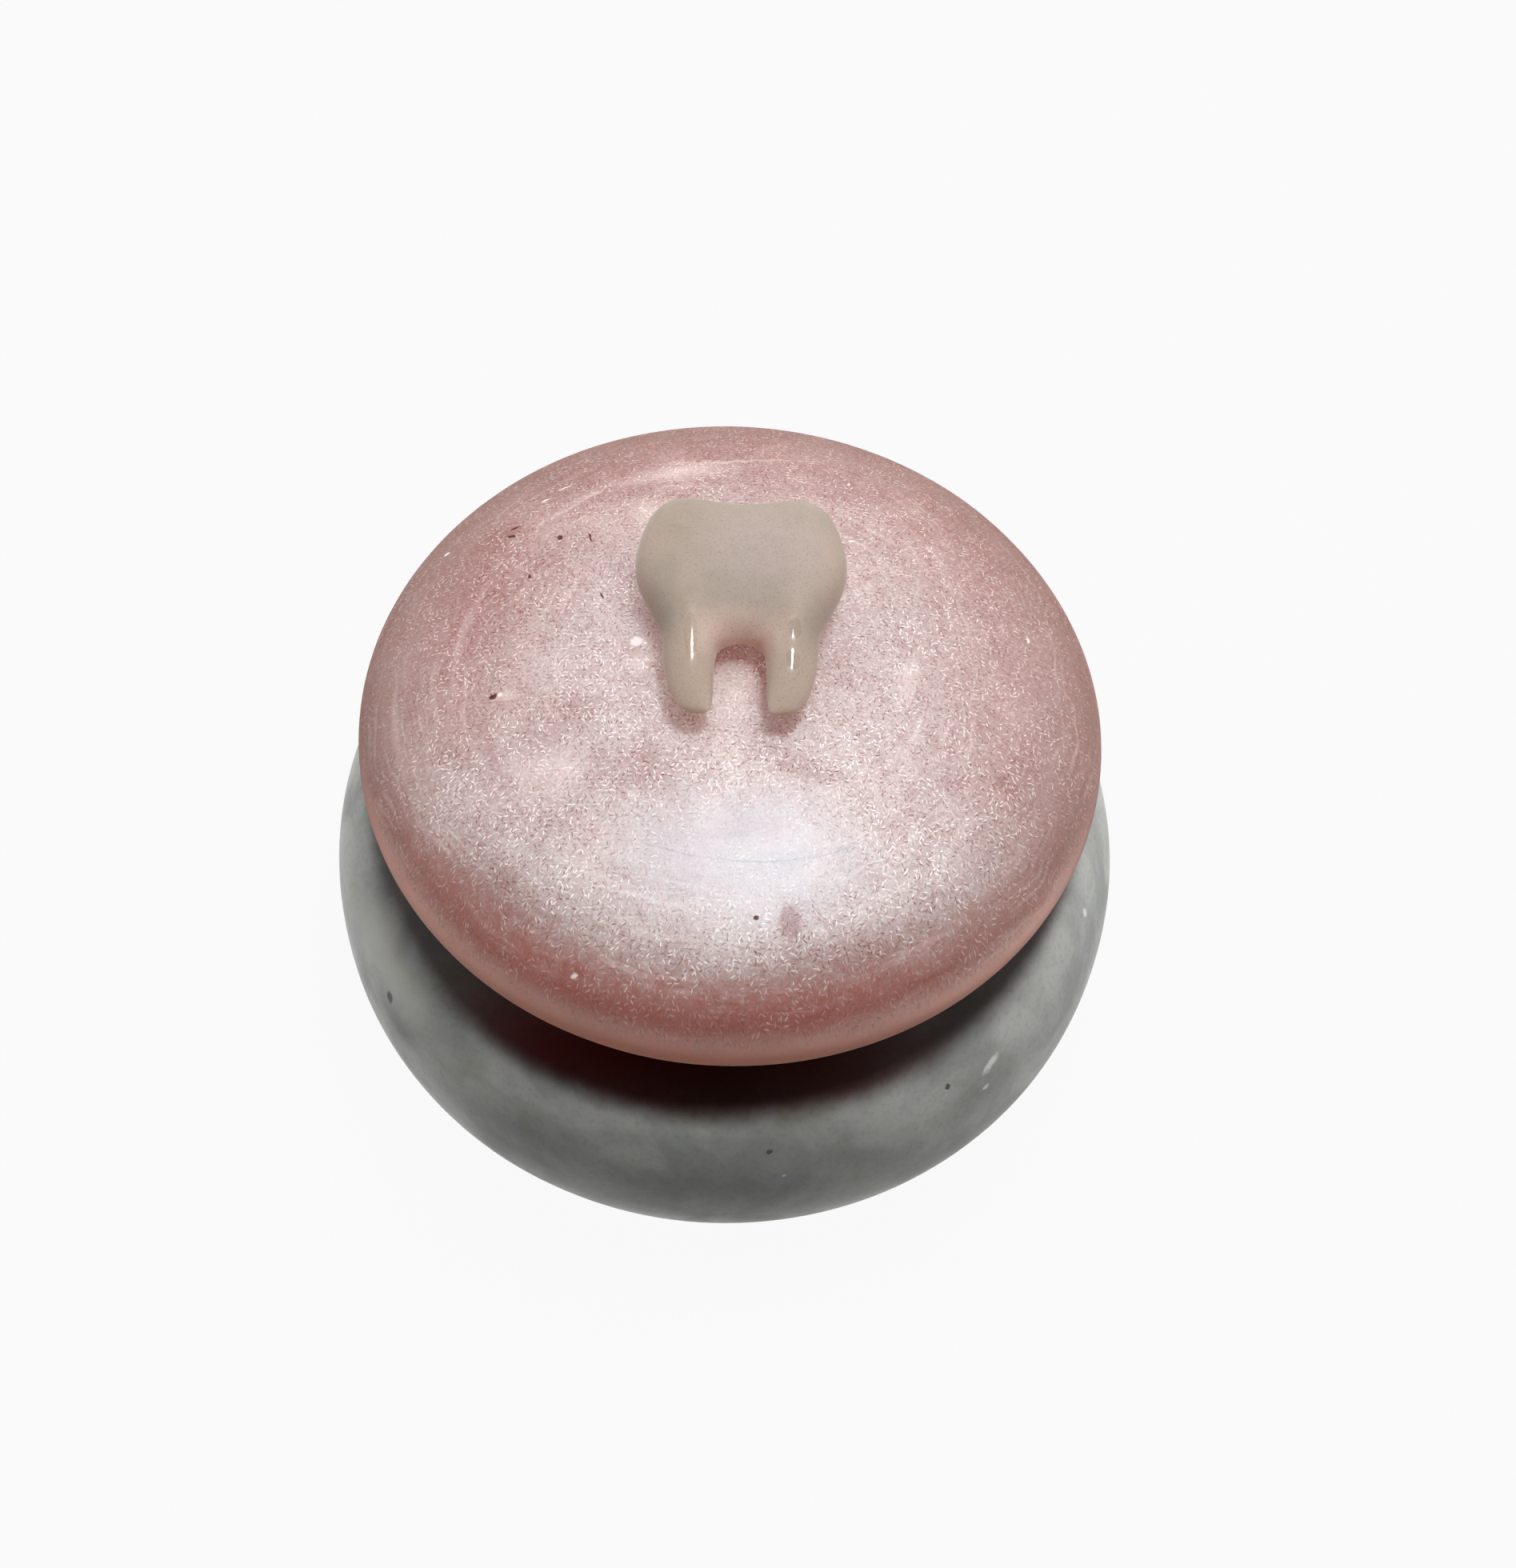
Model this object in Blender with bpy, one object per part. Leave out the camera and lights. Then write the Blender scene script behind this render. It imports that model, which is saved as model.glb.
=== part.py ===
import math

import bmesh
import bpy
from mathutils import Matrix

# All sizes are in metres. The origin is the middle of the foot, +Z is up and -Y is the front.

# Pot: a squat round body with a straight bore, cast in one piece
pot_radius = 0.0368
belly_height = 0.015
shoulder_height = 0.0162
rim_inset = 0.0088
foot_inset = 0.0105
rim_width = 0.005
mouth_rounding = 0.0009
cavity_taper = 0.0009
cavity_corner = 0.004
floor_thickness = 0.0055

# Lid: a shallow dome with an undercut edge, and a ring below that drops into the mouth
lid_inset = 0.0038
dome_height = 0.0118
edge_height = 0.0055
seat_width = 0.003
spigot_depth = 0.003
spigot_wall = 0.0026
spigot_clearance = 0.0004
spigot_rounding = 0.0005
ceiling_recess = 0.001

# Tooth: a puffy molar with two roots, lying on the lid with its crown to the back
crown_width = 0.0182
crown_length = 0.0152
root_length = 0.008
tooth_front_rise = 0.0042
tooth_back_rise = 0.0018
crown_set_back = 0.0069
tooth_turn_degrees = 3.0

# Adhesive bed between the tooth's back and the dome
bed_width = 0.0096
bed_length = 0.0086
bed_thickness = 0.0005

# Gap between pieces that rest on each other
seat_gap = 0.0003

# Fullness of the turned outlines: 1 draws an ellipse, and less draws a squarer curve
pot_curve_share = 0.833
dome_curve_share = 1.0

# Faces of the round pieces
round_steps = 72
bed_steps = 32
curve_steps = 9
corner_steps = 3
tooth_levels = 2
merge_distance = 0.00001

# The tooth's right half as a coarse cage, from the chewing edge down to the root tips.
# A crown row gives its height above the fork as a share of the crown's length. Each point is a
# share of the half width, then its front rise and its back rise as shares, both 0 on the outline.
crown_row_shares = [
    [(0.0, 0.865, 0.0, 0.0), (0.5, 0.985, 0.0, 0.0), (0.76, 0.96, 0.0, 0.0), (0.9, 0.83, 0.0, 0.0)],
    [(0.0, 0.79, 0.7, 0.7), (0.5, 0.87, 0.75, 0.75), (0.79, 0.82, 0.6, 0.6), (0.985, 0.7, 0.0, 0.0)],
    [(0.0, 0.63, 0.95, 1.0), (0.52, 0.66, 1.0, 1.0), (0.86, 0.62, 0.8, 0.8), (1.06, 0.55, 0.0, 0.0)],
    [(0.0, 0.42, 0.96, 1.0), (0.52, 0.41, 1.03, 1.0), (0.9, 0.4, 0.84, 0.82), (1.065, 0.37, 0.0, 0.0)],
    [(0.0, 0.2, 0.74, 0.8), (0.46, 0.2, 0.97, 1.0), (0.76, 0.2, 0.86, 0.9), (0.92, 0.17, 0.0, 0.0)],
    [(0.0, 0.03, 0.5, 0.6), (0.39, 0.08, 0.92, 1.05), (0.66, 0.08, 0.87, 0.95), (0.83, 0.06, 0.0, 0.0)],
    [(0.0, -0.05, 0.0, 0.0), (0.34, -0.03, 0.81, 1.1), (0.59, -0.03, 0.79, 1.0), (0.775, -0.05, 0.0, 0.0)],
]
# A root row gives its depth below the fork as a share of the root's length.
root_row_shares = [
    [(0.185, 0.22, 0.0, 0.0), (0.34, 0.27, 0.67, 1.05), (0.57, 0.27, 0.67, 1.0), (0.775, 0.25, 0.0, 0.0)],
    [(0.21, 0.61, 0.0, 0.0), (0.35, 0.63, 0.39, 1.0), (0.55, 0.62, 0.39, 0.95), (0.7, 0.59, 0.0, 0.0)],
    [(0.25, 0.87, 0.0, 0.0), (0.37, 0.9, 0.14, 0.75), (0.49, 0.89, 0.14, 0.75), (0.6, 0.83, 0.0, 0.0)],
    [(0.31, 0.975, 0.0, 0.0), (0.38, 1.01, 0.0, 0.0), (0.45, 0.995, 0.0, 0.0), (0.5, 0.935, 0.0, 0.0)],
]

# Heights and radii that follow from the sizes above
rim_height = belly_height + shoulder_height
rim_radius = pot_radius - rim_inset
mouth_radius = rim_radius - rim_width
foot_radius = pot_radius - foot_inset
lid_radius = pot_radius - lid_inset
underside_height = rim_height + seat_gap
underside_radius = mouth_radius + seat_width
lid_widest_height = underside_height + edge_height
spigot_radius = mouth_radius - spigot_clearance
spigot_bore = spigot_radius - spigot_wall


def make_material(name, colour, roughness, metallic=0.0, alpha=1.0):
    material = bpy.data.materials.new(name)
    material.use_nodes = True
    shader = material.node_tree.nodes["Principled BSDF"]
    shader.inputs["Base Color"].default_value = (*colour, 1.0)
    shader.inputs["Roughness"].default_value = roughness
    shader.inputs["Metallic"].default_value = metallic
    shader.inputs["Alpha"].default_value = alpha
    material.diffuse_color = (*colour, alpha)
    return material


def closing_height(height, inner_radius, outer_radius, curve_share):
    """Height at which a swell from outer_radius would meet the axis, if it passes inner_radius at height."""
    power = 2 / curve_share
    return height / (1 - (inner_radius / outer_radius) ** power) ** (1 / power)


def swell(radius, height, curve_share, end_height, steps):
    """Points from the widest ring of a swelling curve to where it has climbed to end_height."""
    end_angle = math.asin((end_height / height) ** (1 / curve_share))
    points = []
    for step in range(steps + 1):
        angle = end_angle * step / steps
        points.append((radius * math.cos(angle) ** curve_share, height * math.sin(angle) ** curve_share))
    return points


def corner(centre_r, centre_z, radius_r, radius_z, start_degrees, end_degrees, steps):
    """Points of an elliptical corner in the outline, both ends included."""
    points = []
    for step in range(steps + 1):
        angle = math.radians(start_degrees + (end_degrees - start_degrees) * step / steps)
        points.append((centre_r + radius_r * math.cos(angle), centre_z + radius_z * math.sin(angle)))
    return points


def pot_outline():
    """Bore from its floor up, over the rim, down the belly and in along the foot."""
    cavity_radius = mouth_radius - cavity_taper
    outline = [(0, floor_thickness)]
    outline += corner(cavity_radius - cavity_corner, floor_thickness + cavity_corner,
                      cavity_corner, cavity_corner, -90, 0, corner_steps)
    outline += corner(mouth_radius + mouth_rounding, rim_height - mouth_rounding,
                      mouth_rounding, mouth_rounding, 180, 90, corner_steps)
    shoulder_close = closing_height(shoulder_height, rim_radius, pot_radius, pot_curve_share)
    shoulder = swell(pot_radius, shoulder_close, pot_curve_share, shoulder_height, curve_steps)
    outline += [(r, belly_height + z) for r, z in reversed(shoulder)]
    belly_close = closing_height(belly_height, foot_radius, pot_radius, pot_curve_share)
    belly = swell(pot_radius, belly_close, pot_curve_share, belly_height, curve_steps)
    outline += [(r, belly_height - z) for r, z in belly[1:]]
    outline.append((0, 0))
    return outline


def dome_top(radius):
    """Height of the lid's upper face at a distance from its axis."""
    power = 2 / dome_curve_share
    return lid_widest_height + dome_height * (1 - (radius / lid_radius) ** power) ** (1 / power)


def lid_outline():
    """Dome from its crest out to the edge, under it to the seat, round the spigot and in to the axis."""
    dome = swell(lid_radius, dome_height, dome_curve_share, dome_height, curve_steps + corner_steps)
    outline = [(0, lid_widest_height + dome_height)]
    outline += [(r, lid_widest_height + z) for r, z in reversed(dome[:-1])]
    edge = corner(underside_radius, lid_widest_height, lid_radius - underside_radius, edge_height,
                  0, -90, curve_steps)
    outline += edge[1:]
    spigot_end = underside_height - spigot_depth
    outline.append((spigot_radius, underside_height))
    outline += corner(spigot_radius - spigot_rounding, spigot_end + spigot_rounding,
                      spigot_rounding, spigot_rounding, 0, -90, corner_steps)
    outline += corner(spigot_bore + spigot_rounding, spigot_end + spigot_rounding,
                      spigot_rounding, spigot_rounding, -90, -180, corner_steps)
    outline.append((spigot_bore, underside_height + ceiling_recess))
    outline.append((0, underside_height + ceiling_recess))
    return outline


def finish_object(name, mesh, material, sharp_degrees=35):
    mesh.materials.append(material)
    mesh.shade_smooth()
    mesh.set_sharp_from_angle(angle=math.radians(sharp_degrees))
    piece = bpy.data.objects.new(name, mesh)
    bpy.context.scene.collection.objects.link(piece)
    return piece


def turned_piece(name, outline, material):
    """A solid of revolution about Z from its half outline."""
    bm = bmesh.new()
    points = [bm.verts.new((r, 0, z)) for r, z in outline]
    lines = [bm.edges.new(pair) for pair in zip(points, points[1:])]
    bmesh.ops.spin(bm, geom=points + lines, cent=(0, 0, 0), axis=(0, 0, 1),
                   angle=math.tau, steps=round_steps, use_merge=True)
    bmesh.ops.remove_doubles(bm, verts=bm.verts, dist=merge_distance)
    bmesh.ops.recalc_face_normals(bm, faces=bm.faces)
    mesh = bpy.data.meshes.new(name)
    bm.to_mesh(mesh)
    bm.free()
    return finish_object(name, mesh, material)


def tooth_frame():
    """Place of the tooth: over the back of the dome, leaning with it, at the fork of the roots."""
    middle = crown_length / 2
    back_end = crown_set_back + middle
    front_end = crown_set_back - middle - root_length
    drop = dome_top(abs(back_end)) - dome_top(abs(front_end))
    lean = math.atan2(drop, crown_length + root_length)
    outline_height = dome_top(crown_set_back) + 2 * seat_gap + bed_thickness + tooth_back_rise
    return (Matrix.Translation((0, crown_set_back, outline_height))
            @ Matrix.Rotation(math.radians(tooth_turn_degrees), 4, "Z")
            @ Matrix.Rotation(lean, 4, "X"))


def tooth_cage_mesh():
    """Half cage of the tooth with a front and a back, joined along the outline."""
    rows = [[(x, y * crown_length, *rises) for x, y, *rises in row] for row in crown_row_shares]
    rows += [[(x, -y * root_length, *rises) for x, y, *rises in row] for row in root_row_shares]
    bm = bmesh.new()
    front = []
    back = []
    for row in rows:
        front_row = []
        back_row = []
        for x, y, front_rise, back_rise in row:
            place = (x * crown_width / 2, y - crown_length / 2)
            top = bm.verts.new((*place, front_rise * tooth_front_rise))
            front_row.append(top)
            back_row.append(bm.verts.new((*place, -back_rise * tooth_back_rise)) if back_rise else top)
        front.append(front_row)
        back.append(back_row)
    for side in (front, back):
        for upper, lower in zip(side, side[1:]):
            for column in range(len(upper) - 1):
                bm.faces.new((upper[column], lower[column], lower[column + 1], upper[column + 1]))
    bmesh.ops.mirror(bm, geom=bm.faces[:] + bm.edges[:] + bm.verts[:], axis="X", merge_dist=merge_distance)
    bmesh.ops.recalc_face_normals(bm, faces=bm.faces)
    mesh = bpy.data.meshes.new("tooth")
    bm.to_mesh(mesh)
    bm.free()
    return mesh


def make_tooth(material):
    tooth = finish_object("tooth", tooth_cage_mesh(), material, 180)
    tooth.matrix_world = tooth_frame()
    rounding = tooth.modifiers.new("rounding", "SUBSURF")
    rounding.levels = tooth_levels
    rounding.render_levels = tooth_levels
    return tooth


def make_adhesive_bed(material):
    """A thin oval bed: its underside follows the dome and its top lies along the tooth's back."""
    bm = bmesh.new()
    oval = Matrix.Diagonal((bed_width / 2, bed_length / 2, 1, 1))
    bmesh.ops.create_circle(bm, cap_ends=True, cap_tris=True, segments=bed_steps, radius=1, matrix=oval)
    raised = bmesh.ops.extrude_face_region(bm, geom=bm.faces[:])["geom"]
    upper = [part for part in raised if isinstance(part, bmesh.types.BMVert)]
    lower = [vert for vert in bm.verts if vert not in upper]
    frame = tooth_frame()
    for vert in upper:
        vert.co.z = -tooth_back_rise - seat_gap
        vert.co = frame @ vert.co
    for vert in lower:
        vert.co = frame @ vert.co
        vert.co.z = dome_top(math.hypot(vert.co.x, vert.co.y)) + seat_gap
    bmesh.ops.recalc_face_normals(bm, faces=bm.faces)
    mesh = bpy.data.meshes.new("tooth_adhesive")
    bm.to_mesh(mesh)
    bm.free()
    return finish_object("tooth_adhesive", mesh, material)


def build():
    for old in list(bpy.data.objects):
        bpy.data.objects.remove(old, do_unlink=True)
    grey_resin = make_material("grey_resin", (0.21, 0.22, 0.205), 0.22)
    pink_pearl_resin = make_material("pink_pearl_resin", (0.55, 0.29, 0.275), 0.35, 0.15)
    cream_resin = make_material("cream_resin", (0.47, 0.41, 0.33), 0.25)
    clear_adhesive = make_material("clear_adhesive", (0.7, 0.66, 0.6), 0.15, alpha=0.5)

    pot = turned_piece("pot", pot_outline(), grey_resin)
    lid_mount = bpy.data.objects.new("lid_lift", None)
    bpy.context.scene.collection.objects.link(lid_mount)
    lid_mount.parent = pot
    lid = turned_piece("lid", lid_outline(), pink_pearl_resin)
    tooth = make_tooth(cream_resin)
    bed = make_adhesive_bed(clear_adhesive)
    for piece in (lid, tooth, bed):
        piece.parent = lid_mount


build()
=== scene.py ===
import math
import bpy
from mathutils import Matrix, Vector


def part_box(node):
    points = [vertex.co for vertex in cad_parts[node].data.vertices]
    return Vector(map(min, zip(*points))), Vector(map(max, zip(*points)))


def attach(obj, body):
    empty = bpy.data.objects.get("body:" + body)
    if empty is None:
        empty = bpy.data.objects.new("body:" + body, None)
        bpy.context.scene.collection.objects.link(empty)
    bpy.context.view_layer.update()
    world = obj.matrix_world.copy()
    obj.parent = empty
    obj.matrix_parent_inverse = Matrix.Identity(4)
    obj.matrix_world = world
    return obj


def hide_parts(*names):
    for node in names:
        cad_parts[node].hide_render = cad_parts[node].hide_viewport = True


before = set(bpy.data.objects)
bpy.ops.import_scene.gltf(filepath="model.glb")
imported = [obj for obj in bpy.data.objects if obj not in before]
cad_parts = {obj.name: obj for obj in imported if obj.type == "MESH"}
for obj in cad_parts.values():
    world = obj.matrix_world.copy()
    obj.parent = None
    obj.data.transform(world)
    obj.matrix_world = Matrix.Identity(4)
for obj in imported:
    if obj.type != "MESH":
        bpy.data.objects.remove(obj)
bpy.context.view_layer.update()        # pot, lid, tooth and its adhesive, as they were packed
mm = 0.001
print("frame loaded:", ", ".join(sorted(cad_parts)))

# where the photograph was taken from
photoView = {
    "aim": (2.71 * mm, -1.64 * mm, 30.1 * mm),
    "distance": 231 * mm,
    "elevation": 58,
    "roll": 3.93,
    "lens": 58.2,
    "sensor": 36,
    "nearest": 5 * mm,
}


def placeCamera(view):
    tilt = math.radians(view["elevation"])
    roll = math.radians(view["roll"])
    back = Vector((0, -math.cos(tilt), math.sin(tilt)))
    level = Vector((1, 0, 0))
    right = level * math.cos(roll) + back.cross(level) * math.sin(roll)
    up = back.cross(right)
    camera = bpy.data.objects.new("photoCamera", bpy.data.cameras.new("photoCamera"))
    bpy.context.scene.collection.objects.link(camera)
    camera.data.lens = view["lens"]
    camera.data.sensor_width = view["sensor"]
    camera.data.clip_start = view["nearest"]
    spot = Vector(view["aim"]) + back * view["distance"]
    camera.matrix_world = Matrix.Translation(spot) @ Matrix((right, up, back)).transposed().to_4x4()
    bpy.context.scene.camera = camera


placeCamera(photoView)
print("camera placed")


# small helpers for modelling
weldDistance = 0.005 * mm


def deselectAll():
    if bpy.context.object and bpy.context.object.mode != "OBJECT":
        bpy.ops.object.mode_set(mode="OBJECT")
    bpy.ops.object.select_all(action="DESELECT")


def pickOnly(piece):
    deselectAll()
    piece.select_set(True)
    bpy.context.view_layer.objects.active = piece


def applyModifier(piece, modifier):
    pickOnly(piece)
    bpy.ops.object.modifier_apply(modifier=modifier.name)


def roundOff(piece, levels):
    rounding = piece.modifiers.new("rounding", "SUBSURF")
    rounding.levels = levels
    rounding.render_levels = levels
    applyModifier(piece, rounding)


def waver(piece, size, depth):
    # the slight unevenness of a casting, as a real displacement
    clouds = bpy.data.textures.new(piece.name + "Waver", "CLOUDS")
    clouds.noise_scale = size
    clouds.noise_depth = 1
    wave = piece.modifiers.new("waver", "DISPLACE")
    wave.texture = clouds
    wave.texture_coords = "LOCAL"
    wave.strength = depth
    wave.mid_level = 0.5
    applyModifier(piece, wave)


def smoothShade(piece, degrees):
    pickOnly(piece)
    bpy.ops.object.shade_smooth_by_angle(angle=math.radians(degrees))


def spinOutline(name, outline, steps):
    # draws the half outline point by point, then spins it round the upright axis
    deselectAll()
    start = outline[0]
    bpy.ops.mesh.primitive_plane_add(size=mm, location=(start[0], 0, start[1]))
    piece = bpy.context.object
    piece.name = name
    piece.data.name = name
    bpy.ops.object.transform_apply(location=True, rotation=True, scale=True)
    bpy.ops.object.mode_set(mode="EDIT")
    bpy.ops.mesh.select_all(action="SELECT")
    bpy.ops.mesh.merge(type="CENTER")
    for here, there in zip(outline, outline[1:]):
        step = (there[0] - here[0], 0, there[1] - here[1])
        bpy.ops.mesh.extrude_region_move(TRANSFORM_OT_translate={"value": step})
    bpy.ops.mesh.select_all(action="SELECT")
    bpy.ops.mesh.spin(steps=steps, angle=math.tau, center=(0, 0, 0), axis=(0, 0, 1))
    bpy.ops.mesh.select_all(action="SELECT")
    bpy.ops.mesh.remove_doubles(threshold=weldDistance)
    bpy.ops.mesh.normals_make_consistent(inside=False)
    bpy.ops.object.mode_set(mode="OBJECT")
    return piece


def arcPoints(centre, radii, startDegrees, endDegrees, count):
    points = []
    for step in range(count + 1):
        angle = math.radians(startDegrees + (endDegrees - startDegrees) * step / count)
        points.append((centre[0] + radii[0] * math.cos(angle), centre[1] + radii[1] * math.sin(angle)))
    return points


def swellPoints(radius, height, fullness, endHeight, count):
    # a quarter of a fuller or plainer ellipse, from its widest place up to endHeight
    endAngle = math.asin((endHeight / height) ** (1 / fullness))
    points = []
    for step in range(count + 1):
        angle = endAngle * step / count
        points.append((radius * math.cos(angle) ** fullness, height * math.sin(angle) ** fullness))
    return points


def closingHeight(height, inner, outer, fullness):
    # how high such a curve would close if it passes the inner radius at this height
    power = 2 / fullness
    return height / (1 - (inner / outer) ** power) ** (1 / power)


# pot
potSizes = {
    "bellyHeight": 15 * mm,
    "rimRadius": 28 * mm,
    "footRadius": 26.3 * mm,
    "mouthRadius": 23 * mm,
    "cavityTaper": 0.9 * mm,
    "cavityCorner": 4 * mm,
    "mouthRounding": 0.9 * mm,
    "floorThickness": 5.5 * mm,
    "fullness": 0.833,
    "waverSize": 16 * mm,
    "waverDepth": 0.08 * mm,
    "sides": 180,
    "curveSteps": 30,
    "cornerSteps": 8,
    "mouthSteps": 6,
    "smoothDegrees": 35,
}


def modelPot(sizes):
    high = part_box("pot")[1]
    radius, rimHeight = high.x, high.z
    belly, floor = sizes["bellyHeight"], sizes["floorThickness"]
    full, steps = sizes["fullness"], sizes["curveSteps"]
    wall = sizes["mouthRadius"] - sizes["cavityTaper"]
    corner, rounding = sizes["cavityCorner"], sizes["mouthRounding"]
    mouthCentre = (sizes["mouthRadius"] + rounding, rimHeight - rounding)
    outline = [(0, floor)]
    outline += arcPoints((wall - corner, floor + corner), (corner, corner), -90, 0, sizes["cornerSteps"])
    outline += arcPoints(mouthCentre, (rounding, rounding), 180, 90, sizes["mouthSteps"])
    shoulder = closingHeight(rimHeight - belly, sizes["rimRadius"], radius, full)
    upper = swellPoints(radius, shoulder, full, rimHeight - belly, steps)
    outline += [(r, belly + z) for r, z in reversed(upper)]
    under = closingHeight(belly, sizes["footRadius"], radius, full)
    outline += [(r, belly - z) for r, z in swellPoints(radius, under, full, belly, steps)[1:]]
    outline.append((0, 0))
    pot = spinOutline("potCasting", outline, sizes["sides"])
    waver(pot, sizes["waverSize"], sizes["waverDepth"])
    smoothShade(pot, sizes["smoothDegrees"])
    return pot


potCasting = modelPot(potSizes)
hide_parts("pot")
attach(potCasting, "pot")
print("pot modelled")


# lid
lidSizes = {
    "widestHeight": 37 * mm,
    "domeHeight": 11.8 * mm,
    "undersideHeight": 31.5 * mm,
    "undersideRadius": 26 * mm,
    "spigotRadius": 22.6 * mm,
    "spigotBore": 20 * mm,
    "spigotDepth": 3 * mm,
    "spigotRounding": 0.5 * mm,
    "ceilingRecess": 1 * mm,
    "fullness": 1,
    "waverSize": 13 * mm,
    "waverDepth": 0.07 * mm,
    "sides": 180,
    "domeSteps": 40,
    "edgeSteps": 24,
    "spigotSteps": 5,
    "smoothDegrees": 35,
}


def modelLid(sizes):
    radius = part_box("lid")[1].x
    widest, under, rise = sizes["widestHeight"], sizes["undersideHeight"], sizes["domeHeight"]
    dome = swellPoints(radius, rise, sizes["fullness"], rise, sizes["domeSteps"])
    outline = [(r, widest + z) for r, z in reversed(dome)]
    outline[0] = (0, widest + rise)
    edgeRadii = (radius - sizes["undersideRadius"], widest - under)
    outline += arcPoints((sizes["undersideRadius"], widest), edgeRadii, 0, -90, sizes["edgeSteps"])[1:]
    outline.append((sizes["spigotRadius"], under))

    # the locating ring and the recess inside it
    tip, rounding, steps = under - sizes["spigotDepth"], sizes["spigotRounding"], sizes["spigotSteps"]
    outerCentre = (sizes["spigotRadius"] - rounding, tip + rounding)
    innerCentre = (sizes["spigotBore"] + rounding, tip + rounding)
    outline += arcPoints(outerCentre, (rounding, rounding), 0, -90, steps)
    outline += arcPoints(innerCentre, (rounding, rounding), -90, -180, steps)
    outline.append((sizes["spigotBore"], under + sizes["ceilingRecess"]))
    outline.append((0, under + sizes["ceilingRecess"]))
    lid = spinOutline("lidCasting", outline, sizes["sides"])
    waver(lid, sizes["waverSize"], sizes["waverDepth"])
    smoothShade(lid, sizes["smoothDegrees"])
    return lid


lidCasting = modelLid(lidSizes)
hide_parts("lid")
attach(lidCasting, "lid")
print("lid modelled")


# tooth
toothSizes = {
    "turn": 3,
    "lean": -1.93,
    "crownLength": 15.2 * mm,
    "rootLength": 8 * mm,
    "halfWidth": 9.1 * mm,
    "frontRise": 4.2 * mm,
    "backRise": 1.8 * mm,
    "setBack": 6.9 * mm,
    # each point: share of the half width, share of the length, then its front rise and back rise as shares
    "crownRows": [
        [(0, 0.865, 0, 0), (0.5, 0.985, 0, 0), (0.76, 0.96, 0, 0), (0.9, 0.83, 0, 0)],
        [(0, 0.79, 0.7, 0.7), (0.5, 0.87, 0.75, 0.75), (0.79, 0.82, 0.6, 0.6), (0.985, 0.7, 0, 0)],
        [(0, 0.63, 0.95, 1), (0.52, 0.66, 1, 1), (0.86, 0.62, 0.8, 0.8), (1.06, 0.55, 0, 0)],
        [(0, 0.42, 0.96, 1), (0.52, 0.41, 1.03, 1), (0.9, 0.4, 0.84, 0.82), (1.065, 0.37, 0, 0)],
        [(0, 0.2, 0.74, 0.8), (0.46, 0.2, 0.97, 1), (0.76, 0.2, 0.86, 0.9), (0.92, 0.17, 0, 0)],
        [(0, 0.03, 0.5, 0.6), (0.39, 0.08, 0.92, 1.05), (0.66, 0.08, 0.87, 0.95), (0.83, 0.06, 0, 0)],
        [(0, -0.05, 0, 0), (0.34, -0.03, 0.81, 1.1), (0.59, -0.03, 0.79, 1), (0.775, -0.05, 0, 0)],
    ],
    "rootRows": [
        [(0.19, 0.15, 0, 0), (0.34, 0.27, 0.67, 1.05), (0.58, 0.27, 0.67, 1), (0.8, 0.25, 0, 0)],
        [(0.195, 0.6, 0, 0), (0.34, 0.63, 0.39, 1), (0.57, 0.62, 0.39, 0.95), (0.74, 0.59, 0, 0)],
        [(0.2, 0.88, 0, 0), (0.34, 0.91, 0.14, 0.75), (0.5, 0.9, 0.14, 0.75), (0.64, 0.83, 0, 0)],
        [(0.26, 0.985, 0, 0), (0.35, 1.02, 0, 0), (0.46, 1, 0, 0), (0.53, 0.935, 0, 0)],
    ],
    "weldDistance": 0.01 * mm,
    "levels": 4,
    "smoothDegrees": 80,
}


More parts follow.
